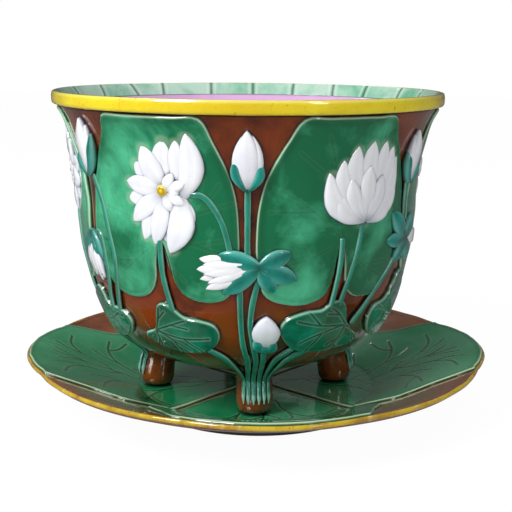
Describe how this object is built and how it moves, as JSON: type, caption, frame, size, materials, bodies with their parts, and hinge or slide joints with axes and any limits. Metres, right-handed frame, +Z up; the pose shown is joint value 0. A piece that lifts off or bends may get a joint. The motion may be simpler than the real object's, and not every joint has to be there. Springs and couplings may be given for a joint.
{
  "type": "jardiniere on stand",
  "caption": "Round footed jardiniere with a flared banded rim and water-lily relief, lifting off a wide shallow dish stand covered with lily pads.",
  "frame": {"origin": "on the table, at the centre of the dish that the jardiniere stands on", "axes": "+Z up; -Y is the front of the jardiniere; +X is to the viewer's right"},
  "size_m": [0.4358, 0.4358, 0.293],
  "materials": {
    "amber_glaze": "gloss",
    "dish_brown_glaze": "gloss",
    "dish_green_glaze": "gloss",
    "leaf_green_glaze": "gloss",
    "mint_glaze": "gloss",
    "pad_green_glaze": "gloss",
    "stem_glaze": "gloss",
    "turquoise_glaze": "gloss",
    "wall_glaze": "gloss",
    "white_glaze": "gloss",
    "yellow_glaze": "gloss"
  },
  "bodies": {
    "dish": {"dish_body": "dish_brown_glaze", "dish_lip_band": "yellow_glaze", "lily_pad_front": "dish_green_glaze", "lily_pad_left": "dish_green_glaze", "lily_pad_rear": "dish_green_glaze", "lily_pad_right": "dish_green_glaze"},
    "jardiniere": {"bowl_wall": "wall_glaze", "foot_front": "amber_glaze", "foot_left": "amber_glaze", "foot_rear": "amber_glaze", "foot_right": "amber_glaze", "front_bud_left": "white_glaze", "front_bud_middle": "white_glaze", "front_bud_right": "white_glaze", "front_bud_sepals": "turquoise_glaze", "front_flower_hearts": "yellow_glaze", "front_flower_sepals": "turquoise_glaze", "front_foot_stems": "stem_glaze", "front_half_open_flower": "white_glaze", "front_hanging_flower": "white_glaze", "front_leaf_panel_left": "leaf_green_glaze", "front_leaf_panel_right": "leaf_green_glaze", "front_leaf_panel_side": "leaf_green_glaze", "front_low_bud": "white_glaze", "front_lying_flower": "white_glaze", "front_open_flower": "white_glaze", "front_pointing_flower": "white_glaze", "front_side_flower": "white_glaze", "front_small_leaf_left": "pad_green_glaze", "front_small_leaf_right": "pad_green_glaze", "front_small_leaf_side_left": "pad_green_glaze", "front_small_leaf_side_right": "pad_green_glaze", "front_wall_stems": "stem_glaze", "inner_lip_band": "mint_glaze", "rear_bud_left": "white_glaze", "rear_bud_middle": "white_glaze", "rear_bud_right": "white_glaze", "rear_bud_sepals": "turquoise_glaze", "rear_flower_hearts": "yellow_glaze", "rear_flower_sepals": "turquoise_glaze", "rear_foot_stems": "stem_glaze", "rear_half_open_flower": "white_glaze", "rear_hanging_flower": "white_glaze", "rear_leaf_panel_left": "leaf_green_glaze", "rear_leaf_panel_right": "leaf_green_glaze", "rear_leaf_panel_side": "leaf_green_glaze", "rear_low_bud": "white_glaze", "rear_lying_flower": "white_glaze", "rear_open_flower": "white_glaze", "rear_pointing_flower": "white_glaze", "rear_side_flower": "white_glaze", "rear_small_leaf_left": "pad_green_glaze", "rear_small_leaf_right": "pad_green_glaze", "rear_small_leaf_side_left": "pad_green_glaze", "rear_small_leaf_side_right": "pad_green_glaze", "rear_wall_stems": "stem_glaze", "rim_band": "yellow_glaze"}
  },
  "joints": [
    {"name": "jardiniere_lift", "type": "slide", "parent": "dish", "child": "jardiniere", "axis": [0, 0, 1], "range_m": [0, 0.12]}
  ]
}
